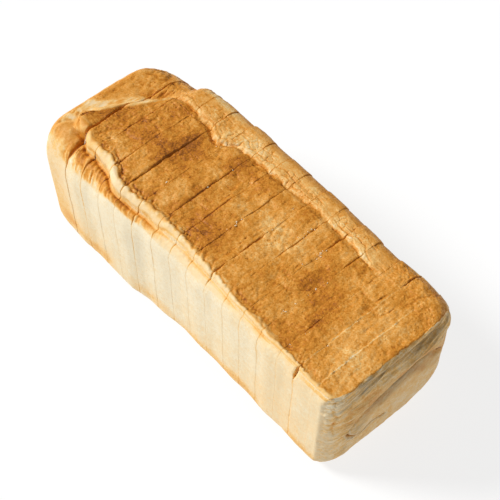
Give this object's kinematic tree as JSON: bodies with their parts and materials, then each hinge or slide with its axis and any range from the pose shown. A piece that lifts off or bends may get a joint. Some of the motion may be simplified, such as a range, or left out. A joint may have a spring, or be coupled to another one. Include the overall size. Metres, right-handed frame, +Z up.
{
  "type": "sliced tin loaf",
  "caption": "Sliced white tin loaf standing whole: flat golden lid with a stepped far corner, pale soft sides, a roll along one top edge and a folded crust end.",
  "frame": {"origin": "on the base, under the middle of the whole loaf's box", "axes": "+X along the loaf towards its folded near end, +Y towards the side with the creased edge, +Z up"},
  "size_m": [0.2926, 0.1156, 0.104],
  "materials": {
    "crust": "baked bread crust, golden brown on top and pale cream on the sides, over white crumb on the cut faces"
  },
  "bodies": {
    "root": {"slice_01": "crust", "slice_02": "crust", "slice_03": "crust", "slice_04": "crust", "slice_05": "crust", "slice_06": "crust", "slice_07": "crust", "slice_08": "crust", "slice_09": "crust", "slice_10": "crust", "slice_11": "crust", "slice_12": "crust", "slice_13": "crust", "slice_14": "crust", "slice_15": "crust", "slice_16": "crust"}
  },
  "joints": []
}
